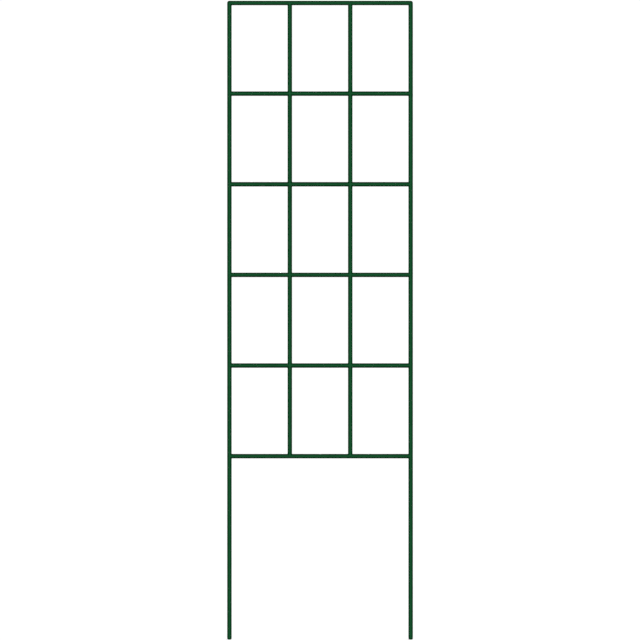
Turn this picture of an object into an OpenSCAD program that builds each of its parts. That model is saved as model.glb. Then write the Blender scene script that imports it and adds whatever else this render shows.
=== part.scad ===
// Espalier frame: a flat garden trellis of welded round steel tube that stands in the soil on two legs.
// The front faces -Y, up is +Z, and the origin lies midway between the two foot ends.

/* [Lattice] */
// Number of bays across
columns = 3; // [2:1:6]
// Number of cells up
rows = 5; // [2:1:8]
// Width of a cell between tube centre lines
cell_w = 200; // [80:5:400]
// Height of a cell between tube centre lines
cell_h = 300; // [80:5:500]

/* [Tube] */
// Outside diameter of every tube
tube_d = 15; // [12:0.5:25]
// Wall thickness of every tube
tube_wall = 1; // [0.8:0.1:2]

/* [Legs] */
// Length of each leg from the foot's end to the bottom rail's centre line
leg_len = 607; // [150:1:1000]

/* [Foot plugs] */
// Height of the plug's head below the tube's cut end
plug_head_h = 6; // [4:0.5:12]
// Rounding of the head's lower rim
plug_rim_r = 5; // [1:0.5:5.5]
// Length of the spigot inside the tube
plug_spigot_len = 18; // [10:1:40]
// Depth of the fins that grip the bore
plug_fin_h = 0.6; // [0.3:0.1:1]
// Thickness of each fin
plug_fin_t = 1; // [0.6:0.1:1.2]
// Number of fins on the spigot
plug_fins = 4; // [2:1:5]
// Wall of the hollow spigot
plug_wall = 1.2; // [0.6:0.1:1.4]
// Gap between the fins and the tube's bore
plug_clearance = 0.1; // [0.05:0.05:0.2]

/* [Welds] */
// Gap left between a coped tube end and the tube that it is welded to
weld_gap = 0.2; // [0.1:0.05:0.4]
// Radius of the bead's round section
weld_bead_r = 1.5; // [1:0.1:2]
// Height of the bead over the corner where the two tubes meet
weld_throat = 1.1; // [0.8:0.1:1.5]

/* [Hidden] */
$fn = 64;
// How far a cutting shape runs past what it cuts
overrun = 5;
// How near a bead's two tips come to the crossing of the centre lines, as a share of the tube's radius
weld_tip_share = 0.11;
tube_r = tube_d / 2;
bore_r = tube_r - tube_wall;
cope_r = tube_r + weld_gap;
frame_w = columns * cell_w;
frame_h = rows * cell_h;
top_z = leg_len + frame_h;
// Distance from the crossing of two centre lines to the corner where the two tubes' surfaces meet
corner_reach = tube_r * sqrt(2);
// A bead is part of a ring in the diagonal plane. Its outer circle runs over the corner at the throat's
// height and through the two points where the tubes' seam comes as near to the crossing as the tips do
weld_reach = corner_reach + weld_throat;
weld_tip = tube_r * weld_tip_share;
weld_tip_run = weld_reach - weld_tip;
weld_outer_r = (weld_tip_run ^ 2 + tube_r ^ 2 - weld_tip ^ 2 / 2) / (2 * weld_tip_run);
weld_ring_r = weld_outer_r - weld_bead_r;
weld_ring_centre = weld_reach - weld_outer_r;
weld_cut_len = 2 * (weld_reach + overrun);
fin_r = bore_r - plug_clearance;
spigot_r = fin_r - plug_fin_h;
core_r = spigot_r - plug_wall;
fin_pitch = plug_spigot_len / plug_fins;
steel_green = "#1a502e";
weld_green = "#174a2a";
plug_green = "#123d22";

inner_names = [for (i = [1 : columns - 1]) str("inner_upright_", i)];
rung_names = [for (row = [1 : rows - 1]) for (bay = [1 : columns]) rung_name(row, bay)];

// A rung's name holds its row from the bottom and its bay from the left, as in rung_1a
function rung_name(row, bay) = str("rung_", row, chr(ord("a") + bay - 1));

// Place of an upright's centre line, counted from 0 at the left
function line_x(i) = i * cell_w - frame_w / 2;

// Height of a rail's or a row's centre line, counted from 0 at the bottom rail
function line_z(j) = leg_len + j * cell_h;

// Sides of a crossing on which a line carries on: -1 towards its start, 1 towards its end
function sides(index, last) = concat(index > 0 ? [-1] : [], index < last ? [1] : []);

// The same for an upright at a row, where only the outer ones run on below the bottom rail
function upright_sides(i, j) = j == 0 && (i == 0 || i == columns) ? [-1, 1] : sides(j, rows);

// A round bar along X from the origin
module bar_x(r, len) {
    rotate([0, 90, 0])
        cylinder(r = r, h = len);
}

// A round bar up Z from the origin, with a ball of its own radius at each of the heights in balls
module ball_bar(r, len, balls) {
    rotate_extrude()
        intersection() {
            union() {
                square([r, len]);
                for (z = balls)
                    translate([0, z])
                        circle(r = r);
            }
            translate([0, -r])
                square([r, len + 2 * r]);
        }
}

// The upright's side of the 45 degree cut through a top left corner at the origin
module mitre_side() {
    size = 2 * (top_z + frame_w);
    rotate([0, 45, 0])
        translate([0, 0, -size / 2])
            cube(size, center = true);
}

// A tube along X between two centre lines, both ends coped to tubes of the same size that run up Z
module coped_tube(len) {
    color(steel_green)
        difference() {
            bar_x(tube_r, len);
            translate([-overrun, 0, 0])
                bar_x(bore_r, len + 2 * overrun);
            for (x = [0, len])
                translate([x, 0, 0])
                    cylinder(r = cope_r, h = tube_d + 2 * overrun, center = true);
        }
}

// Outer upright on the left: open at the foot, mitred to the top rail at a rounded corner
module outer_upright() {
    tube_len = top_z - plug_head_h;
    color(steel_green)
        intersection() {
            translate([line_x(0), 0, plug_head_h])
                difference() {
                    ball_bar(tube_r, tube_len, [tube_len]);
                    translate([0, 0, -overrun])
                        ball_bar(bore_r, tube_len + overrun, [tube_len + overrun]);
                }
            translate([line_x(0), 0, top_z])
                mitre_side();
        }
}

module left_upright() {
    outer_upright();
}

module right_upright() {
    mirror([1, 0, 0])
        outer_upright();
}

// Top rail between the two mitred corners
module top_rail() {
    color(steel_green)
        difference() {
            translate([line_x(0), 0, top_z])
                rotate([0, 90, 0])
                    difference() {
                        ball_bar(tube_r, frame_w, [0, frame_w]);
                        ball_bar(bore_r, frame_w, [0, frame_w]);
                    }
            for (side = [0, 1])
                mirror([side, 0, 0])
                    translate([line_x(0), 0, top_z])
                        mitre_side();
        }
}

// Bottom rail, in one length between the outer uprights
module bottom_rail() {
    translate([line_x(0), 0, line_z(0)])
        coped_tube(frame_w);
}

// Inner upright, in one length from the bottom rail to the top rail
module inner_upright(i) {
    translate([line_x(i), 0, line_z(0)])
        rotate([0, -90, 0])
            coped_tube(frame_h);
}

// Rung between two neighbouring uprights
module rung(row, bay) {
    translate([line_x(bay - 1), 0, line_z(row)])
        coped_tube(cell_w);
}

// Moulded plug in the foot of a leg: a head with a rounded rim and a hollow finned spigot
module foot_plug(i) {
    color(plug_green)
        translate([line_x(i), 0, 0])
            difference() {
                union() {
                    rotate_extrude()
                        plug_head_profile();
                    translate([0, 0, plug_head_h - plug_rim_r / 2])
                        cylinder(r = spigot_r, h = plug_spigot_len + plug_rim_r / 2);
                    for (k = [0 : plug_fins - 1])
                        translate([0, 0, plug_head_h + (k + 1 / 2) * fin_pitch])
                            cylinder(r = fin_r, h = plug_fin_t, center = true);
                }
                translate([0, 0, plug_head_h])
                    cylinder(r = core_r, h = plug_spigot_len + overrun);
            }
}

// Half section of the plug's head, from its axis
module plug_head_profile() {
    intersection() {
        square([tube_r, plug_head_h]);
        union() {
            square([tube_r - plug_rim_r, plug_head_h]);
            translate([0, plug_rim_r])
                square([tube_r, plug_head_h]);
            translate([tube_r - plug_rim_r, plug_rim_r])
                circle(r = plug_rim_r);
        }
    }
}

// Weld bead in the corner towards +X and +Z of a crossing at the origin: a ring bent round the corner,
// cut away by the two tubes, which leaves a crescent from the front to the back
module weld_bead() {
    difference() {
        rotate([0, -45, 0])
            translate([weld_ring_centre, 0, 0])
                rotate_extrude()
                    translate([weld_ring_r, 0])
                        circle(r = weld_bead_r);
        cylinder(r = tube_r, h = weld_cut_len, center = true);
        translate([-weld_cut_len / 2, 0, 0])
            bar_x(tube_r, weld_cut_len);
    }
}

// All the beads along one upright, one in each corner that it makes with a rail or a rung
module upright_welds(i) {
    color(weld_green)
        for (j = [0 : rows])
            translate([line_x(i), 0, line_z(j)])
                for (side_x = sides(i, columns))
                    for (side_z = upright_sides(i, j))
                        mirror([side_x < 0 ? 1 : 0, 0, 0])
                            mirror([0, 0, side_z < 0 ? 1 : 0])
                                weld_bead();
}

left_upright();
right_upright();
top_rail();
bottom_rail();
for (i = [1 : columns - 1]) {
    inner_upright(i);
    upright_welds(i);
}
for (row = [1 : rows - 1])
    for (bay = [1 : columns])
        rung(row, bay);
foot_plug(0);  // left_foot_plug
foot_plug(columns);  // right_foot_plug
upright_welds(0);  // left_upright_welds
upright_welds(columns);  // right_upright_welds
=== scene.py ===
"""Looks of the espalier frame: a flat garden trellis of welded steel tube under a dark green coat.

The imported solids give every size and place. The tubes keep their solids and get the coat's finish. The weld
beads and the foot plugs are built again as finer surfaces that stand for their solids. Lengths are in metres,
the front faces -Y and up is +Z.
"""

from __future__ import annotations

import logging
import math
from collections.abc import Iterable, Mapping
from dataclasses import dataclass, replace
from enum import Enum

import bpy
import numpy as np
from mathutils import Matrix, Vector
from numpy.typing import NDArray

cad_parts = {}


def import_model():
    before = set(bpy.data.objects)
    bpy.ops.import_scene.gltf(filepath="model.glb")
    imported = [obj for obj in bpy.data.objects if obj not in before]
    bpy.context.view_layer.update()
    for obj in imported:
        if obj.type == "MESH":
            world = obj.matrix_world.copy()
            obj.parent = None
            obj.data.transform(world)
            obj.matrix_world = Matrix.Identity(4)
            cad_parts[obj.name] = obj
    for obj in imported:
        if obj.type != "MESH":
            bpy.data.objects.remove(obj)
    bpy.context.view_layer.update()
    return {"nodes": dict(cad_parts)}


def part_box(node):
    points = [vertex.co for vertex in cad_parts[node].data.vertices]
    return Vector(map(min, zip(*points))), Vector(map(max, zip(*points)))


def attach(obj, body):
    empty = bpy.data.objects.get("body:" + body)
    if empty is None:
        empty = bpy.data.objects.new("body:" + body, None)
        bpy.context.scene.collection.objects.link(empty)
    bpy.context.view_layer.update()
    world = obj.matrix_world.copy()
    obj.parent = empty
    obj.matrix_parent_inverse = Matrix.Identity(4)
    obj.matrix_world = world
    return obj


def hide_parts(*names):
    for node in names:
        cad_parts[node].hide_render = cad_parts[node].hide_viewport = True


LOG = logging.getLogger("espalier_frame")

Array = NDArray[np.float64]
Faces = NDArray[np.int64]
Colour = tuple[float, float, float, float]

FULL_TURN = 2.0 * math.pi
QUARTER_TURN = 0.5 * math.pi
WHITE: Colour = (1.0, 1.0, 1.0, 1.0)
BODY = "root"


class Slot(Enum):
    """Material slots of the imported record."""

    COAT = "green_coat"
    PLUG = "plug_plastic"


class Corner(Enum):
    """The corners that two crossing tubes make, as their signs along X and Z."""

    UPPER_RIGHT = (1, 1)
    UPPER_LEFT = (-1, 1)
    LOWER_RIGHT = (1, -1)
    LOWER_LEFT = (-1, -1)


def smoothstep(share: Array) -> Array:
    """Gives 3s^2 - 2s^3 of a share that is first held between 0 and 1."""
    held = np.clip(share, 0.0, 1.0)
    return held * held * (3.0 - 2.0 * held)


@dataclass(frozen=True)
class Surface:
    """A surface of points, quads and triangles, ready to become a mesh.

    Attributes:
        points: One row of X, Y and Z per point.
        quads: Four point numbers per face.
        triangles: Three point numbers per face.
        crease: Angle between two faces from which their edge shows.
    """

    points: Array
    quads: Faces
    triangles: Faces
    crease: float = math.radians(50.0)

    @classmethod
    def of_spindles(cls, rings: Array, poles: Array) -> Surface:
        """Makes closed spindles: rings of points, with one pole before them and one after.

        A face goes on to the next ring before it goes on around.

        Args:
            rings: Points by spindle, ring and place round the ring.
            poles: The first and the last pole of each spindle.

        Returns:
            All the spindles as one surface.
        """
        count, length, around, _ = rings.shape
        here = np.arange(length * around).reshape(length, around)
        beside = np.roll(here, -1, axis=1)
        quads = np.stack([here[:-1], here[1:], beside[1:], beside[:-1]], axis=-1).reshape(-1, 4)
        first_pole = np.full(around, length * around)
        start = np.stack([first_pole, here[0], beside[0]], axis=-1)
        end = np.stack([here[-1], first_pole + 1, beside[-1]], axis=-1)
        points = np.concatenate([rings.reshape(count, -1, 3), poles], axis=1)
        shift = np.arange(count)[:, None, None] * points.shape[1]
        return cls(
            points.reshape(-1, 3),
            (quads + shift).reshape(-1, 4),
            (np.concatenate([start, end]) + shift).reshape(-1, 3),
        )

    def joined_to(self, other: Surface) -> Surface:
        """Puts another surface's points and faces after this one's.

        Args:
            other: The other surface.

        Returns:
            Both as one surface.
        """
        shift = len(self.points)
        return replace(
            self,
            points=np.concatenate([self.points, other.points]),
            quads=np.concatenate([self.quads, other.quads + shift]),
            triangles=np.concatenate([self.triangles, other.triangles + shift]),
        )

    def piece(self, name: str, material: bpy.types.Material, **attributes: Array) -> bpy.types.Object:
        """Puts the surface into a smooth mesh object at the origin.

        Args:
            name: Name of the object and its mesh.
            material: Finish of the whole surface.
            **attributes: Values per point that the material reads by name.

        Returns:
            The object, linked to the scene.
        """
        mesh = bpy.data.meshes.new(name)
        mesh.from_pydata(self.points.tolist(), [], self.quads.tolist() + self.triangles.tolist())
        for label, values in attributes.items():
            layer = mesh.attributes.new(label, "FLOAT", "POINT")
            layer.data.foreach_set("value", values.astype(np.float32))
        mesh.shade_smooth()
        mesh.set_sharp_from_angle(angle=self.crease)
        mesh.materials.append(material)
        made = bpy.data.objects.new(name, mesh)
        bpy.context.scene.collection.objects.link(made)
        return made


@dataclass(frozen=True)
class Lattice:
    """Centre lines and sizes of the welded grid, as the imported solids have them.

    Attributes:
        uprights: Names of the upright tubes, from left to right.
        level_tubes: Names of the rails and rungs.
        upright_x: Place of each upright's centre line.
        row_z: Height of each rail's or row's centre line, from the bottom.
        tube_radius: Outside radius of every tube.
        leg_end: Height at which the tubes of the two legs are cut.
    """

    uprights: tuple[str, ...]
    level_tubes: tuple[str, ...]
    upright_x: Array
    row_z: Array
    tube_radius: float
    leg_end: float

    @classmethod
    def from_nodes(cls, names: Iterable[str]) -> Lattice:
        """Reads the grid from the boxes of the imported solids.

        Args:
            names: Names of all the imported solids.

        Returns:
            The grid that they make.
        """
        tubes = [name for name in names if not name.endswith(("_welds", "_plug"))]
        middle = {name: (low + high) / 2 for name in tubes for low, high in [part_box(name)]}
        uprights = sorted((n for n in tubes if "upright" in n), key=lambda n: middle[n].x)
        level_tubes = sorted(n for n in tubes if "upright" not in n)
        low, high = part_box(uprights[0])
        height_decimals = 4
        heights = [round(middle[name].z, height_decimals) for name in level_tubes]
        return cls(
            uprights=tuple(uprights),
            level_tubes=tuple(level_tubes),
            upright_x=np.array([middle[name].x for name in uprights]),
            row_z=np.unique(heights),
            tube_radius=(high.x - low.x) / 2,
            leg_end=low.z,
        )

    def arms(self, column: int, row: int) -> tuple[dict[int, bool], dict[int, bool]]:
        """The ways in which tubes leave a crossing.

        Args:
            column: Number of the upright, from 0 at the left.
            row: Number of the rail or row, from 0 at the bottom.

        Returns:
            Whether a level tube runs towards -X and +X, and whether the upright runs towards -Z and +Z. Only
            the outer uprights run on below the bottom rail.
        """
        last_column = len(self.upright_x) - 1
        last_row = len(self.row_z) - 1
        is_outer = column in (0, last_column)
        return {-1: column > 0, 1: column < last_column}, {-1: row > 0 or is_outer, 1: row < last_row}

    def corners(self, column: int, row: int) -> list[Corner]:
        """The corners at a crossing in which two tubes meet.

        Args:
            column: Number of the upright, from 0 at the left.
            row: Number of the rail or row, from 0 at the bottom.

        Returns:
            Its corners.
        """
        across, along = self.arms(column, row)
        return [c for c in Corner if across[c.value[0]] and along[c.value[1]]]


class NodeSheet:
    """A node tree with short ways to add nodes, set their sockets and link them."""

    def __init__(self, tree: bpy.types.NodeTree) -> None:
        """Takes a tree and empties it."""
        self.tree = tree
        self.tree.nodes.clear()

    def add(
        self, kind: str, sockets: Mapping[str, object] | None = None, **settings: object
    ) -> bpy.types.Node:
        """Adds a node.

        Args:
            kind: Blender's name for the kind of node.
            sockets: Input identifiers, each with a plain value or with the output that feeds it.
            **settings: Properties of the node itself.

        Returns:
            The node.
        """
        node = self.tree.nodes.new(kind)
        for label, value in settings.items():
            setattr(node, label, value)
        by_identifier = {socket.identifier: socket for socket in node.inputs}
        for label, value in (sockets or {}).items():
            socket = by_identifier[label] if label in by_identifier else node.inputs[label]
            if isinstance(value, bpy.types.NodeSocket):
                self.tree.links.new(value, socket)
            else:
                socket.default_value = value
        return node

    def mix_colours(
        self,
        share: bpy.types.NodeSocket,
        first: Colour | bpy.types.NodeSocket,
        second: Colour | bpy.types.NodeSocket,
    ) -> bpy.types.NodeSocket:
        """Adds a mix of two colours.

        Args:
            share: Output that says how far the mix lies from the first colour to the second.
            first: First colour, or the output that gives it.
            second: Second colour, or the output that gives it.

        Returns:
            The mixed colour's output.
        """
        sockets = {"Factor_Float": share, "A_Color": first, "B_Color": second}
        node = self.add("ShaderNodeMix", sockets, data_type="RGBA")
        return next(output for output in node.outputs if output.identifier == "Result_Color")


class Effect(Enum):
    """Surface effects that more than one finish uses, each a shader node group that is built once."""

    ORANGE_PEEL = "orange_peel"
    SLOW_TONE = "slow_tone"
    SATIN_BREAKUP = "satin_breakup"

    def group(self) -> bpy.types.NodeTree:
        """Gives the effect's node group and builds it at the first call."""
        made = bpy.data.node_groups.get(self.value)
        if made is None:
            made = bpy.data.node_groups.new(self.value, "ShaderNodeTree")
            {
                Effect.ORANGE_PEEL: fill_orange_peel,
                Effect.SLOW_TONE: fill_slow_tone,
                Effect.SATIN_BREAKUP: fill_satin_breakup,
            }[self](made)
        return made


def add_group_sockets(
    tree: bpy.types.NodeTree, inputs: Mapping[str, str], outputs: Mapping[str, str]
) -> None:
    """Gives a node group its named inputs and outputs.

    Args:
        tree: The node group.
        inputs: Kind of socket for each input's name, such as Float or Color.
        outputs: The same for the outputs.
    """
    for side, sockets in (("INPUT", inputs), ("OUTPUT", outputs)):
        for label, kind in sockets.items():
            tree.interface.new_socket(name=label, in_out=side, socket_type=f"NodeSocket{kind}")


def fill_orange_peel(tree: bpy.types.NodeTree) -> None:
    """Height of a sprayed or moulded skin: soft round cells with a finer grain laid over them.

    The height is the smooth distance to the nearest cell, plus a share of noise that is a few times finer.

    Args:
        tree: The empty node group.
    """
    finer_share = 0.35
    finer_times = 3.1
    grain_detail = 1.0
    add_group_sockets(tree, {"Vector": "Vector", "Scale": "Float"}, {"Height": "Float"})
    sheet = NodeSheet(tree)
    source = sheet.add("NodeGroupInput").outputs
    cells = sheet.add(
        "ShaderNodeTexVoronoi",
        {"Vector": source["Vector"], "Scale": source["Scale"], "Smoothness": 1.0},
        feature="SMOOTH_F1",
    )
    finer = sheet.add(
        "ShaderNodeMath",
        {"Value": source["Scale"], "Value_001": finer_times},
        operation="MULTIPLY",
    )
    grain = sheet.add(
        "ShaderNodeTexNoise",
        {"Vector": source["Vector"], "Scale": finer.outputs[0], "Detail": grain_detail},
    )
    height = sheet.add(
        "ShaderNodeMath",
        {"Value": grain.outputs[0], "Value_001": finer_share, "Value_002": cells.outputs["Distance"]},
        operation="MULTIPLY_ADD",
    )
    sheet.add("NodeGroupOutput", {"Height": height.outputs[0]})


def fill_slow_tone(tree: bpy.types.NodeTree) -> None:
    """Colour that drifts between two near tones over a long distance, as a coat's thickness does.

    Noise at the given scale, stretched to the full range, sets how far the colour lies from one to the other.

    Args:
        tree: The empty node group.
    """
    low, high = 0.3, 0.7
    drift_detail = 3.0
    add_group_sockets(
        tree,
        {"Vector": "Vector", "Scale": "Float", "Thin": "Color", "Thick": "Color"},
        {"Color": "Color"},
    )
    sheet = NodeSheet(tree)
    source = sheet.add("NodeGroupInput").outputs
    drift = sheet.add(
        "ShaderNodeTexNoise",
        {"Vector": source["Vector"], "Scale": source["Scale"], "Detail": drift_detail},
    )
    share = sheet.add(
        "ShaderNodeMapRange",
        {"Value": drift.outputs[0], "From Min": low, "From Max": high},
        interpolation_type="SMOOTHSTEP",
    )
    tone = sheet.mix_colours(share.outputs[0], source["Thin"], source["Thick"])
    sheet.add("NodeGroupOutput", {"Color": tone})


def fill_satin_breakup(tree: bpy.types.NodeTree) -> None:
    """Roughness that wanders between a smoother and a duller value, as handling leaves it.

    Noise at the given scale, stretched to the full range, sets how far it lies from one to the other.

    Args:
        tree: The empty node group.
    """
    low, high = 0.35, 0.65
    wander_detail = 4.0
    add_group_sockets(
        tree,
        {"Vector": "Vector", "Scale": "Float", "Smoother": "Float", "Duller": "Float"},
        {"Roughness": "Float"},
    )
    sheet = NodeSheet(tree)
    source = sheet.add("NodeGroupInput").outputs
    wander = sheet.add(
        "ShaderNodeTexNoise",
        {"Vector": source["Vector"], "Scale": source["Scale"], "Detail": wander_detail},
    )
    rough = sheet.add(
        "ShaderNodeMapRange",
        {
            "Value": wander.outputs[0],
            "From Min": low,
            "From Max": high,
            "To Min": source["Smoother"],
            "To Max": source["Duller"],
        },
    )
    sheet.add("NodeGroupOutput", {"Roughness": rough.outputs[0]})


@dataclass(frozen=True)
class SkinFinish:
    """An opaque coloured skin with a fine peel, a drifting tone and a broken satin.

    Attributes:
        name: Name of the material.
        thin: Colour where the skin is thin.
        thick: Colour where it is thick.
        tone_size: Distance over which the colour drifts.
        smoother: Roughness of the smoothest spots.
        duller: Roughness of the dullest spots.
        satin_size: Distance over which the roughness wanders.
        peel_size: Width of one cell of the peel.
        peel_depth: Height of the peel.
        peel_strength: How much of the peel shows.
        gloss: Level of the white mirror reflection, where 0.5 is a common plastic.
        sheen: Share of the skin that shines in its own colour.
        edge_tint: Colour of that shine at a glancing angle.
        grain: Scale of the patterns along each axis. They are longer along an axis with a smaller one.
    """

    name: str
    thin: Colour
    thick: Colour
    tone_size: float
    smoother: float
    duller: float
    satin_size: float
    peel_size: float
    peel_depth: float
    peel_strength: float
    gloss: float
    sheen: float
    edge_tint: Colour
    grain: tuple[float, float, float]

    def material(self) -> bpy.types.Material:
        """Builds the material on the piece's own Object coordinates.

        Returns:
            The material.
        """
        made = bpy.data.materials.new(self.name)
        made.use_nodes = True
        sheet = NodeSheet(made.node_tree)
        own = sheet.add("ShaderNodeTexCoord").outputs["Object"]
        place = sheet.add("ShaderNodeMapping", {"Vector": own, "Scale": self.grain}).outputs[0]
        skin = sheet.add(
            "ShaderNodeBsdfPrincipled",
            {
                "Base Color": self.colour(sheet, place),
                "Roughness": self.roughness(sheet, place),
                "Normal": self.relief(sheet, place),
                "Specular IOR Level": self.gloss,
                "Metallic": self.sheen,
                "Specular Tint": self.edge_tint,
            },
        )
        sheet.add("ShaderNodeOutputMaterial", {"Surface": skin.outputs[0]})
        return made

    def colour(self, sheet: NodeSheet, place: bpy.types.NodeSocket) -> bpy.types.NodeSocket:
        """Adds the drifting colour.

        Args:
            sheet: The material's nodes.
            place: Coordinates that the pattern follows.

        Returns:
            The colour's output.
        """
        tone = sheet.add(
            "ShaderNodeGroup",
            {"Vector": place, "Scale": 1.0 / self.tone_size, "Thin": self.thin, "Thick": self.thick},
            node_tree=Effect.SLOW_TONE.group(),
        )
        return tone.outputs["Color"]

    def roughness(self, sheet: NodeSheet, place: bpy.types.NodeSocket) -> bpy.types.NodeSocket:
        """Adds the broken satin.

        Args:
            sheet: The material's nodes.
            place: Coordinates that the pattern follows.

        Returns:
            The roughness's output.
        """
        satin = sheet.add(
            "ShaderNodeGroup",
            {
                "Vector": place,
                "Scale": 1.0 / self.satin_size,
                "Smoother": self.smoother,
                "Duller": self.duller,
            },
            node_tree=Effect.SATIN_BREAKUP.group(),
        )
        return satin.outputs["Roughness"]

    def relief(self, sheet: NodeSheet, place: bpy.types.NodeSocket) -> bpy.types.NodeSocket:
        """Adds the peel as a bump.

        Args:
            sheet: The material's nodes.
            place: Coordinates that the pattern follows.

        Returns:
            The bumped normal's output.
        """
        peel = sheet.add(
            "ShaderNodeGroup",
            {"Vector": place, "Scale": 1.0 / self.peel_size},
            node_tree=Effect.ORANGE_PEEL.group(),
        )
        bump = sheet.add(
            "ShaderNodeBump",
            {"Strength": self.peel_strength, "Distance": self.peel_depth, "Height": peel.outputs["Height"]},
        )
        return bump.outputs[0]


@dataclass(frozen=True)
class BeadFinish(SkinFinish):
    """The coat over a weld bead, darkened by painted shade in the valleys between the ripples.

    Attributes:
        crest_name: Name of the point attribute: 1 on a ripple's crest, 0 at the bottom between two ripples.
        valley_shade: Colour of the painted shade in the valleys.
        valley_shade_share: How much of that painted shade the deepest point between ripples takes.
    """

    crest_name: str
    valley_shade: Colour
    valley_shade_share: float

    def colour(self, sheet: NodeSheet, place: bpy.types.NodeSocket) -> bpy.types.NodeSocket:
        """Adds the drifting colour and darkens it towards the valleys with painted shade.

        Args:
            sheet: The material's nodes.
            place: Coordinates that the pattern follows.

        Returns:
            The colour's output.
        """
        # Painted shade: the colour is darkened towards the valleys between the ripples.
        crest = sheet.add("ShaderNodeAttribute", attribute_name=self.crest_name)
        share = sheet.add(
            "ShaderNodeMapRange",
            {"Value": crest.outputs["Fac"], "To Min": self.valley_shade_share, "To Max": 0.0},
        )
        return sheet.mix_colours(share.outputs[0], super().colour(sheet, place), self.valley_shade)


@dataclass(frozen=True)
class TubeFrame:
    """The welded grid's tubes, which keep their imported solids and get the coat.

    Attributes:
        lattice: The grid.
        upright_coat: The coat with its grain along Z.
        level_coat: The coat with its grain along X.
    """

    lattice: Lattice
    upright_coat: SkinFinish
    level_coat: SkinFinish

    def dress(self, nodes: Mapping[str, bpy.types.Object]) -> None:
        """Puts the coat on every tube.

        Args:
            nodes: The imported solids' objects by name.
        """
        for finish, names in (
            (self.upright_coat, self.lattice.uprights),
            (self.level_coat, self.lattice.level_tubes),
        ):
            coat = finish.material()
            for name in names:
                for slot in nodes[name].material_slots:
                    slot.material = coat
                LOG.info("%s: coated tube", name)


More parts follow.
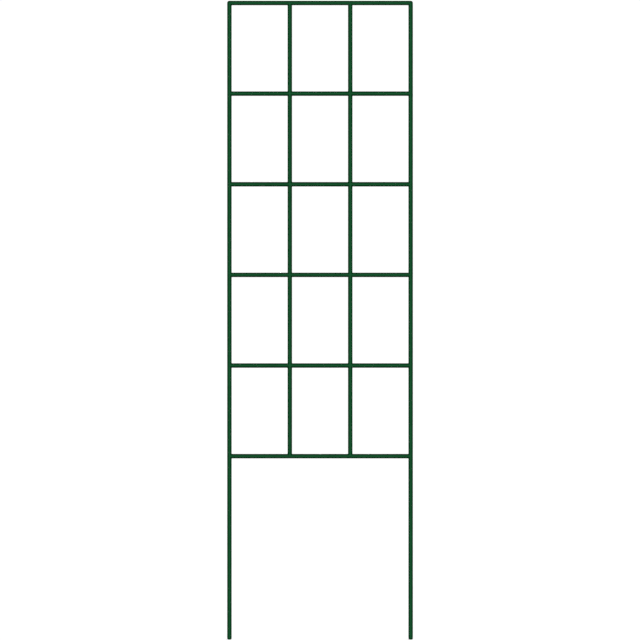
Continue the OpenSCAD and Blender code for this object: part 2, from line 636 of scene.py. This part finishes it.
@dataclass(frozen=True)
class WeldBeads:
    """The coated weld beads in the corners that the tubes make.

    Attributes:
        lattice: The grid.
        finish: The coat over the beads.
        leg: How far a bead runs out along each tube before it feathers away.
        crown: Height of the bead's round back over its hollow fillet.
        root: Depth to which the bead reaches into the tubes' walls.
        tip: Distance from the crossing at which a bead ends.
        tip_share: Size of the bead at that end as a share of its full size.
        tip_run: Distance over which it grows to its full size.
        puddle_radius: Radius of the round spot in which the beads run together at the front and the back.
        puddle_crown: Height of that spot.
        crater_share: How much of that height is missing in the middle, where the weld was broken off.
        crater_radius: Radius of that hollow.
        puddle_around: Number of points round that spot.
        ripple_pitch: Distance between two ripples.
        ripple_share: Height of the ripples as a share of the crown.
        ripple_bow: How far a ripple bows back towards the toes, in ripples.
        harmonic_share: Share of the second wave that makes a ripple steep on one side.
        drift_share: How much the leg wanders along a bead.
        drift_length: Distance over which it wanders.
        rings: Number of sections along a bead.
        face_points: Number of points across its outer face.
        root_points: Number of points across its hidden root.
        seed: Start of the random draws that make each bead a little different.
    """

    lattice: Lattice
    finish: BeadFinish
    leg: float = 0.0013
    crown: float = 0.00014
    root: float = 0.0003
    tip: float = 0.0003
    tip_share: float = 0.7
    tip_run: float = 0.0032
    puddle_radius: float = 0.0022
    puddle_crown: float = 0.00026
    crater_share: float = 0.4
    crater_radius: float = 0.0006
    puddle_around: int = 48
    ripple_pitch: float = 0.0011
    ripple_share: float = 0.4
    ripple_bow: float = 0.45
    harmonic_share: float = 0.35
    drift_share: float = 0.07
    drift_length: float = 0.009
    rings: int = 110
    face_points: int = 11
    root_points: int = 4
    seed: int = 4

    def build(self) -> None:
        """Builds the beads of every upright as one piece each, from the left upright to the right one."""
        material = self.finish.material()
        draws = np.random.default_rng(self.seed)
        for column, name in enumerate(self.lattice.uprights):
            self.upright_beads(column, name, material, draws)

    def upright_beads(
        self, column: int, upright: str, material: bpy.types.Material, draws: np.random.Generator
    ) -> None:
        """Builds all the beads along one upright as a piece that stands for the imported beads.

        Args:
            column: Number of the upright, from 0 at the left.
            upright: Name of the upright.
            material: The coat over the beads.
            draws: Source of each bead's own phases.
        """
        places = [
            (row, corner.value)
            for row in range(len(self.lattice.row_z))
            for corner in self.lattice.corners(column, row)
        ]
        count = len(places)
        rows = np.array([row for row, _ in places])
        signs = np.array([sign for _, sign in places], dtype=float)
        phases = draws.uniform(0.0, FULL_TURN, (2, count, 1, 1))
        points, poles, crest = self.sections(phases)
        sign = np.stack([signs[:, 0], np.ones(count), signs[:, 1]], axis=-1)
        upright_x = np.full(count, self.lattice.upright_x[column])
        centre = np.stack([upright_x, np.zeros(count), self.lattice.row_z[rows]], axis=-1)
        points = points * sign[:, None, None, :] + centre[:, None, None, :]
        poles = poles * sign[:, None, :] + centre[:, None, :]
        is_mirrored = signs.prod(axis=1) < 0
        points = np.where(is_mirrored[:, None, None, None], points[:, :, ::-1], points)
        crest = np.where(is_mirrored[:, None, None], crest[:, :, ::-1], crest)
        crest = np.concatenate([crest.reshape(count, -1), np.ones(poles.shape[:2])], axis=1)
        puddles = self.puddles(column)
        crest = np.concatenate([crest.ravel(), np.ones(len(puddles.points))])
        beads = Surface.of_spindles(points, poles).joined_to(puddles)
        piece = beads.piece(f"{upright}_coated_welds", material, **{self.finish.crest_name: crest})
        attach(piece, BODY)
        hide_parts(f"{upright}_welds")
        LOG.info("%s: %d beads", piece.name, count)

    def sections(self, phases: Array) -> tuple[Array, Array, Array]:
        """Works out beads in the upper right corner of a crossing at the origin.

        The seam of a level and an upright tube of radius R is the ellipse (R cos a, R sin a, R cos a), from
        the front at a = -90 degrees to the back. Along the seam, a point at share s across the bead's face
        is the point of the level tube at leg (1 - s)^2 from the seam plus the point of the upright tube at
        leg s^2, less the seam itself, so that the face leaves both tubes along their surfaces. The crown
        lifts it along the line that halves the corner by sin^2(180 s), and ripples make that more and less
        along the seam. The root runs back from toe to toe just under the tubes' surfaces.

        Args:
            phases: Two phases per bead, for the ripples and for the wandering leg.

        Returns:
            The points by bead, section and place round the section, the two poles of each bead, and how
            near each point lies to a ripple's crest.
        """
        radius = self.lattice.tube_radius
        corner_reach = radius * math.sqrt(2.0)
        span = math.acos(self.tip / corner_reach)
        angle_ends = np.linspace(-span, span, self.rings + 2)
        angle = angle_ends[1:-1].reshape(1, -1, 1)
        step = angle_ends[1] - angle_ends[0]
        run = np.cumsum(radius * np.sqrt(1.0 + np.sin(angle) ** 2) * step, axis=1)
        reach = corner_reach * np.cos(angle)
        growth = self.tip_share + (1.0 - self.tip_share) * smoothstep((reach - self.tip) / self.tip_run)
        ripple_phase, drift_phase = phases
        wander = 1.0 + self.drift_share * np.sin(FULL_TURN * run / self.drift_length + drift_phase)
        leg = self.leg * growth * wander

        share = np.linspace(0.0, 1.0, self.face_points).reshape(1, 1, -1)
        ripples = run / self.ripple_pitch + self.ripple_bow * (2.0 * share - 1.0) ** 2
        ripple_angle = FULL_TURN * ripples + ripple_phase
        wave = np.cos(ripple_angle) + self.harmonic_share * np.sin(2.0 * ripple_angle)
        back = np.sin(math.pi * share) ** 2
        face_rise = self.crown * growth * back * (1.0 + self.ripple_share * wave)
        crest = 1.0 - back * (0.5 - 0.5 * np.clip(wave, -1.0, 1.0)) * growth

        root_share = np.linspace(1.0, 0.0, self.root_points).reshape(1, 1, -1)
        root_rise = -self.root * growth * np.ones_like(leg * root_share)
        root_along_level = leg * np.maximum(1.0 - 2.0 * root_share, 0.0)
        root_along_upright = leg * np.maximum(2.0 * root_share - 1.0, 0.0)
        along_level = np.concatenate([leg * (1.0 - share) ** 2, root_along_level], axis=-1)
        along_upright = np.concatenate([leg * share**2, root_along_upright], axis=-1)
        rise = np.concatenate([face_rise, root_rise], axis=-1)
        points = (
            self.on_level_tube(angle, along_level)
            + self.on_level_tube(angle, along_upright)[..., ::-1]
            - self.on_level_tube(angle, np.zeros_like(along_level))
            + self.corner_line(angle) * rise[..., None]
        )
        ends = self.on_level_tube(angle_ends[[0, -1]], np.zeros(2))
        poles = np.broadcast_to(ends, (points.shape[0], *ends.shape))
        crest = np.concatenate([crest, np.ones_like(root_rise)], axis=-1)
        return points, poles, crest

    def puddles(self, column: int) -> Surface:
        """Builds the round spots along one upright in which the beads run together.

        At distance r from the crossing, the spot lies on the tubes and is raised by
        crown (1 - (r / radius)^2)^2, less a small round hollow in the middle. Its root runs back at a like
        depth under the tubes' surfaces.

        Args:
            column: Number of the upright, from 0 at the left.

        Returns:
            A spot at the front and one at the back of every crossing.
        """
        share = np.linspace(0.0, 1.0, self.face_points)
        bowl = (1.0 - share**2) ** 2
        crater = self.crater_share * np.exp(-((share * self.puddle_radius / self.crater_radius) ** 2))
        share = np.concatenate([share, share[-2::-1]])
        rise = np.concatenate([self.puddle_crown * bowl * (1.0 - crater), -self.root * bowl[-2::-1]])
        turn = np.linspace(0.0, FULL_TURN, self.puddle_around, endpoint=False)
        across = self.puddle_radius * share[:, None] * np.cos(turn)
        up = self.puddle_radius * share[:, None] * np.sin(turn)
        rings, poles = [], []
        for row, height in enumerate(self.lattice.row_z):
            out = self.tube_front(across, up, column, row) + rise[:, None]
            for side in (-1, 1):
                spot = np.stack([across + self.lattice.upright_x[column], side * out, up + height], axis=-1)
                spot = spot[:, ::-side]
                rings.append(spot[1:-1])
                poles.append(spot[[0, -1], 0])
        return Surface.of_spindles(np.stack(rings), np.stack(poles))

    def tube_front(self, across: Array, up: Array, column: int, row: int) -> Array:
        """Distance of the tubes' surface from the grid's middle plane, close to a crossing.

        A level tube falls away with Z, an upright with X and a corner's ball with both. Where a level tube
        and an upright meet, the weld fills the groove between them: the fall is the product of the two falls
        divided by their sum.

        Args:
            across: Distance from the crossing along X.
            up: Distance from the crossing along Z.
            column: Number of the upright, from 0 at the left.
            row: Number of the rail or row, from 0 at the bottom.

        Returns:
            The distance at each place.
        """
        radius = self.lattice.tube_radius
        tiny = np.finfo(float).tiny
        level_arms, upright_arms = self.lattice.arms(column, row)
        has_level = np.where(across < 0.0, level_arms[-1], level_arms[1])
        has_upright = np.where(up < 0.0, upright_arms[-1], upright_arms[1])
        level_fall = radius - np.sqrt(radius**2 - up**2)
        upright_fall = radius - np.sqrt(radius**2 - across**2)
        both = level_fall + upright_fall
        fall = np.select(
            [has_level & has_upright, has_level, has_upright],
            [level_fall * upright_fall / (both + tiny), level_fall, upright_fall],
            default=both,
        )
        return radius - fall

    def on_level_tube(self, angle: Array, distance: Array) -> Array:
        """Points of the level tube beside the seam.

        On the tube's unrolled surface the way square to the seam at angle a is (1, sin a) along X and round
        the tube, divided by its length. The upright tube's points are the same with X and Z exchanged.

        Args:
            angle: Place along the seam.
            distance: Distance from the seam on the tube's surface.

        Returns:
            The points.
        """
        radius = self.lattice.tube_radius
        step = distance / np.sqrt(1.0 + np.sin(angle) ** 2)
        round_angle = angle + step * np.sin(angle) / radius
        across = radius * np.cos(angle) + step
        return np.stack([across, radius * np.sin(round_angle), radius * np.cos(round_angle)], axis=-1)

    @staticmethod
    def corner_line(angle: Array) -> Array:
        """Unit vectors that halve the corner between the tubes: (cos a, 2 sin a, cos a) over its length."""
        line = np.stack([np.cos(angle), 2.0 * np.sin(angle), np.cos(angle)], axis=-1)
        return line / np.linalg.norm(line, axis=-1, keepdims=True)


@dataclass(frozen=True)
class FootPlug:
    """A moulded plug in the foot of a leg: a head with a round rim, and a hollow barbed spigot in the tube.

    Attributes:
        lattice: The grid.
        tube_wall: Wall thickness of the leg's tube.
        rim_radius: Rounding of the head's lower rim.
        edge_radius: Rounding of the head's upper edge, under the tube's cut end.
        draft: How much the head narrows towards that edge.
        gate_radius: Radius of the shallow dish in the end face.
        gate_depth: Depth of that dish.
        nub_radius: Radius of the trimmed sprue in the dish.
        nub_height: Height of that sprue.
        parting_height: Height of the mould's parting line on the head.
        bore_gap: Gap between the barbs and the tube's bore.
        barb_height: Height of the barbs on the spigot.
        barbs: Number of barbs.
        spigot_wall: Wall thickness of the spigot.
        lead_in: Bevel at the spigot's open end.
        curve_points: Number of points along the dish, and along the round rim.
        edge_step: Step at which the small upper edge takes the rim's points.
        around: Number of points round the plug.
    """

    lattice: Lattice
    tube_wall: float = 0.001
    rim_radius: float = 0.005
    edge_radius: float = 0.0003
    draft: float = 0.00008
    gate_radius: float = 0.0017
    gate_depth: float = 0.0004
    nub_radius: float = 0.0005
    nub_height: float = 0.0003
    parting_height: float = 0.00006
    bore_gap: float = 0.0001
    barb_height: float = 0.0006
    barbs: int = 4
    spigot_wall: float = 0.0012
    lead_in: float = 0.0005
    curve_points: int = 14
    edge_step: int = 3
    around: int = 144

    def build(self, node: str, material: bpy.types.Material) -> None:
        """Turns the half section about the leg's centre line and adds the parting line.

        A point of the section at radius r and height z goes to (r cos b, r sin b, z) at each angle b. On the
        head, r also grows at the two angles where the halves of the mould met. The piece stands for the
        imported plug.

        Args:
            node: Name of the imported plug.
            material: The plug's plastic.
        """
        low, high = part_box(node)
        section, on_head = self.half_section((high.x - low.x) / 2, high.z)
        step = FULL_TURN / self.around
        angle = np.arange(self.around) * step
        parting = np.clip(1.0 - np.abs(np.sin(angle)) / math.sin(step), 0.0, 1.0)
        inner = section[1:-1]
        radius = inner[:, :1] + self.parting_height * on_head[1:-1, None] * parting
        height = np.broadcast_to(inner[:, 1:], radius.shape)
        turned = np.stack([radius * np.cos(angle), radius * np.sin(angle), height], axis=-1)
        poles = np.stack([section[[0, -1], 0], np.zeros(2), section[[0, -1], 1]], axis=-1)
        centre = np.array([(low.x + high.x) / 2, (low.y + high.y) / 2, 0.0])
        plug = Surface.of_spindles((turned[:, ::-1] + centre)[None], (poles + centre)[None])
        piece = plug.piece(f"{node}_moulded", material)
        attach(piece, BODY)
        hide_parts(node)
        LOG.info("%s: plug with %d barbs", piece.name, self.barbs)

    def half_section(self, radius: float, top: float) -> tuple[Array, Array]:
        """Half section of the plug, from the middle of its end face round to the floor of its core.

        The dish in the end face is gate_depth cos^2(90 r / gate_radius) deep at radius r. The sprue in it is
        level over the inner half of its radius and falls away smoothly over the outer half.

        Args:
            radius: Outside radius of the head.
            top: Height of the spigot's open end.

        Returns:
            Radius and height of each point, and 1 for the points on the head's outside or 0 for the others.
        """
        head = self.lattice.leg_end
        skin = radius - self.parting_height
        barb_radius = self.lattice.tube_radius - self.tube_wall - self.bore_gap
        spigot = barb_radius - self.barb_height
        core = spigot - self.spigot_wall
        dish = np.linspace(0.0, self.gate_radius, self.curve_points)
        floor = self.gate_depth * np.cos(QUARTER_TURN * dish / self.gate_radius) ** 2
        nub = self.nub_height * smoothstep(2.0 - 2.0 * dish / self.nub_radius)
        turn = np.linspace(0.0, QUARTER_TURN, self.curve_points)
        edge_turn = turn[:: self.edge_step]
        rim = skin - self.rim_radius + self.rim_radius * np.sin(turn)
        upper = skin - self.draft - self.edge_radius
        shoulder = np.array([[spigot + self.edge_radius, head]])
        hidden = np.concatenate(
            [
                shoulder,
                self.barbed_side(spigot, head + self.edge_radius, top - self.lead_in),
                [[spigot - self.lead_in, top], [core, top], [core, head + self.edge_radius]],
                [[core - self.edge_radius, head], [0.0, head]],
            ]
        )
        outside = np.concatenate(
            [
                np.stack([rim, self.rim_radius * (1.0 - np.cos(turn))], axis=-1),
                np.stack(
                    [
                        upper + self.edge_radius * np.cos(edge_turn),
                        head - self.edge_radius + self.edge_radius * np.sin(edge_turn),
                    ],
                    axis=-1,
                ),
            ]
        )
        section = np.concatenate([np.stack([dish, floor - nub], axis=-1), outside, hidden])
        on_head = np.concatenate([np.zeros(len(dish)), np.ones(len(outside)), np.zeros(len(hidden))])
        return section, on_head

    def barbed_side(self, spigot: float, start: float, end: float) -> Array:
        """Outside of the spigot with its barbs.

        In each barb's share s of the height, the radius grows steeply just before the middle and falls away
        slowly above it, so that the plug goes in easily and comes out hard.

        Args:
            spigot: Radius between the barbs.
            start: Height of the first point.
            end: Height of the last point.

        Returns:
            Radius and height of each point.
        """
        points_each = 12
        steep_from, steep_to, slow_to = 0.35, 0.45, 0.85
        height = np.linspace(start, end, self.barbs * points_each + 1)
        share = np.mod((height - start) / (end - start) * self.barbs, 1.0)
        rise = np.clip((share - steep_from) / (steep_to - steep_from), 0.0, 1.0)
        fall = np.clip((slow_to - share) / (slow_to - steep_to), 0.0, 1.0)
        return np.stack([spigot + self.barb_height * rise * fall, height], axis=-1)


@dataclass(frozen=True)
class PhotoCamera:
    """A far camera that looks straight at the front, framed as the photograph is.

    Attributes:
        lattice: The grid.
        image_size: Width and height of the image in pixels.
        top_rail_row: Pixel row of the top rail's centre line.
        foot_row: Pixel row of the foot ends.
        middle_column: Pixel column midway between the outer uprights.
        distance: Distance from the grid, so far off that its depth doesn't show.
        sight_share: How far the camera sees, as a multiple of that distance.
        sensor: Width of the camera's sensor, in millimetres as Blender has it.
    """

    lattice: Lattice
    image_size: float = 640.0
    top_rail_row: float = 3.01
    foot_row: float = 639.54
    middle_column: float = 320.04
    distance: float = 40.0
    sight_share: float = 4.0
    sensor: float = 36.0

    def place(self) -> None:
        """Makes the camera and gives it to the scene."""
        half = 0.5 * self.image_size
        pixel = self.lattice.row_z[-1] / (self.foot_row - self.top_rail_row)
        centre_z = self.lattice.row_z[-1] - (half - self.top_rail_row) * pixel
        centre_x = (half - self.middle_column) * pixel
        data = bpy.data.cameras.new("photo_camera")
        data.sensor_width = self.sensor
        data.lens = self.sensor * self.distance / (self.image_size * pixel)
        data.clip_end = self.sight_share * self.distance
        camera = bpy.data.objects.new("photo_camera", data)
        camera.location = (centre_x, -self.distance, centre_z)
        camera.rotation_euler = (QUARTER_TURN, 0.0, 0.0)
        bpy.context.scene.collection.objects.link(camera)
        bpy.context.scene.camera = camera


@dataclass(frozen=True)
class SoftLamp:
    """An even light from far off on one side, soft by the angle over which it is spread.

    Attributes:
        name: Name of the light.
        towards: Direction from the object towards the light.
        strength: Light that it puts on a face turned to it.
        spread: Angle over which the light is spread, in degrees.
    """

    name: str
    towards: tuple[float, float, float]
    strength: float
    spread: float

    def place(self) -> None:
        """Makes the light and turns it towards the object."""
        data = bpy.data.lights.new(self.name, "SUN")
        data.energy = self.strength
        data.angle = math.radians(self.spread)
        lamp = bpy.data.objects.new(self.name, data)
        lamp.rotation_euler = Vector(self.towards).to_track_quat("Z", "Y").to_euler()
        bpy.context.scene.collection.objects.link(lamp)


@dataclass(frozen=True)
class Studio:
    """A white studio: a pale floor, a white surround and soft lamps.

    Attributes:
        lamps: The lamps.
        floor_radius: Distance from the middle of the floor to its sides.
        floor_drop: How far the floor lies under the feet.
        floor_colour: Colour of the floor.
        floor_glow: White that the floor gives off to the camera.
        shade_reach: How far the shade round a foot goes on the floor.
        shade_open: Openness of the sky over the floor under which the shade is deepest.
        shade_depth: White that is left there, as a share of the glow.
        surround_seen: White of the surround as the camera sees it.
        surround_light: Light that the surround puts on the object.
    """

    lamps: tuple[SoftLamp, ...]
    floor_radius: float = 60.0
    floor_drop: float = 0.0002
    floor_colour: Colour = (0.8, 0.8, 0.8, 1.0)
    floor_glow: float = 0.8
    shade_reach: float = 0.06
    shade_open: float = 0.6
    shade_depth: float = 0.35
    surround_seen: float = 1.03
    surround_light: float = 0.1

    def build(self) -> None:
        """Makes the floor, the surround and the lamps."""
        bpy.context.scene.view_settings.view_transform = "Standard"
        self.lay_floor()
        self.hang_surround()
        for lamp in self.lamps:
            lamp.place()
            LOG.info("%s: lamp", lamp.name)

    def lay_floor(self) -> None:
        """Makes the floor, a flat square that glows for the camera alone, with painted shade round the feet.
        """
        made = bpy.data.materials.new("pale_floor")
        made.use_nodes = True
        sheet = NodeSheet(made.node_tree)
        seen = sheet.add("ShaderNodeLightPath").outputs["Is Camera Ray"]
        glow = sheet.add(
            "ShaderNodeMath", {"Value": seen, "Value_001": self.floor_glow}, operation="MULTIPLY"
        )
        # Painted shadow: the camera glow is dimmed where the feet close off the sky over the floor.
        openness = sheet.add("ShaderNodeAmbientOcclusion", {"Distance": self.shade_reach}).outputs["AO"]
        shade = sheet.add(
            "ShaderNodeMapRange",
            {"Value": openness, "From Min": self.shade_open, "To Min": self.shade_depth},
            interpolation_type="SMOOTHSTEP",
        )
        skin = sheet.add(
            "ShaderNodeBsdfPrincipled",
            {
                "Base Color": self.floor_colour,
                "Roughness": 1.0,
                "Specular IOR Level": 0.0,
                "Emission Color": shade.outputs[0],
                "Emission Strength": glow.outputs[0],
            },
        )
        sheet.add("ShaderNodeOutputMaterial", {"Surface": skin.outputs[0]})
        signs = np.array([[-1, -1], [1, -1], [1, 1], [-1, 1]]) * self.floor_radius
        points = np.column_stack([signs, np.full(len(signs), -self.floor_drop)])
        no_faces = np.empty((0, 3), dtype=np.int64)
        floor = Surface(points, np.arange(len(signs)).reshape(1, -1), no_faces).piece("pale_floor", made)
        floor.visible_glossy = False
        LOG.info("%s: floor", floor.name)

    def hang_surround(self) -> None:
        """Makes the world white to the camera and dimmer as a light, so that the tubes' edges stay dark."""
        world = bpy.data.worlds.new("white_surround")
        world.use_nodes = True
        sheet = NodeSheet(world.node_tree)
        seen = sheet.add("ShaderNodeLightPath").outputs["Is Camera Ray"]
        strength = sheet.add(
            "ShaderNodeMapRange", {"Value": seen, "To Min": self.surround_light, "To Max": self.surround_seen}
        )
        light = sheet.add("ShaderNodeBackground", {"Color": WHITE, "Strength": strength.outputs[0]})
        sheet.add("ShaderNodeOutputWorld", {"Surface": light.outputs[0]})
        bpy.context.scene.world = world


EDGE_TINT: Colour = (0.35, 1.0, 0.55, 1.0)
UPRIGHT_COAT = SkinFinish(
    name="green_coat_on_uprights",
    thin=(0.0063, 0.0610, 0.0190, 1.0),
    thick=(0.0058, 0.0560, 0.0174, 1.0),
    tone_size=0.03,
    smoother=0.55,
    duller=0.61,
    satin_size=0.008,
    peel_size=0.0011,
    peel_depth=0.0001,
    peel_strength=0.8,
    gloss=0.05,
    sheen=0.5,
    edge_tint=EDGE_TINT,
    grain=(1.0, 1.0, 0.3),
)
LEVEL_COAT = replace(UPRIGHT_COAT, name="green_coat_on_level_tubes", grain=(0.3, 1.0, 1.0))
BEAD_COAT = BeadFinish(
    name="green_coat_on_welds",
    thin=(0.0062, 0.0600, 0.0187, 1.0),
    thick=(0.0057, 0.0550, 0.0171, 1.0),
    tone_size=0.02,
    smoother=0.5,
    duller=0.62,
    satin_size=0.006,
    peel_size=0.0009,
    peel_depth=0.00007,
    peel_strength=0.7,
    gloss=0.05,
    sheen=0.5,
    edge_tint=EDGE_TINT,
    grain=(1.0, 1.0, 1.0),
    crest_name="bead_crest",
    # Painted shade colour in the valleys between the ripples.
    valley_shade=(0.0042, 0.0415, 0.0129, 1.0),
    valley_shade_share=0.6,
)
PLUG_PLASTIC = SkinFinish(
    name="moulded_green_plastic",
    thin=(0.0061, 0.0590, 0.0184, 1.0),
    thick=(0.0055, 0.0540, 0.0167, 1.0),
    tone_size=0.012,
    smoother=0.5,
    duller=0.66,
    satin_size=0.004,
    peel_size=0.0004,
    peel_depth=0.00003,
    peel_strength=0.8,
    gloss=0.08,
    sheen=0.4,
    edge_tint=EDGE_TINT,
    grain=(1.0, 1.0, 1.0),
)
FOOT_PLUGS = ("left_foot_plug", "right_foot_plug")
LAMPS = (
    SoftLamp(name="front_light", towards=(0.0, -1.0, 0.06), strength=2.7, spread=5.0),
    SoftLamp(name="back_light", towards=(0.0, 1.0, 0.06), strength=2.1, spread=5.0),
    SoftLamp(name="left_light", towards=(-0.92, 0.39, 0.06), strength=0.8, spread=12.0),
    SoftLamp(name="right_light", towards=(0.92, 0.39, 0.06), strength=0.8, spread=12.0),
    SoftLamp(name="top_light", towards=(0.1, -0.4, 1.0), strength=0.3, spread=12.0),
)


def main() -> None:
    """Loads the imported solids, dresses them and sets up the studio and the camera."""
    logging.basicConfig(level=logging.INFO, format="%(name)s: %(message)s")
    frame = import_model()
    lattice = Lattice.from_nodes(frame["nodes"])
    PhotoCamera(lattice).place()
    TubeFrame(lattice, UPRIGHT_COAT, LEVEL_COAT).dress(frame["nodes"])
    WeldBeads(lattice, BEAD_COAT).build()
    plastic = PLUG_PLASTIC.material()
    for node in FOOT_PLUGS:
        FootPlug(lattice).build(node, plastic)
    Studio(LAMPS).build()


if __name__ == "__main__":
    main()
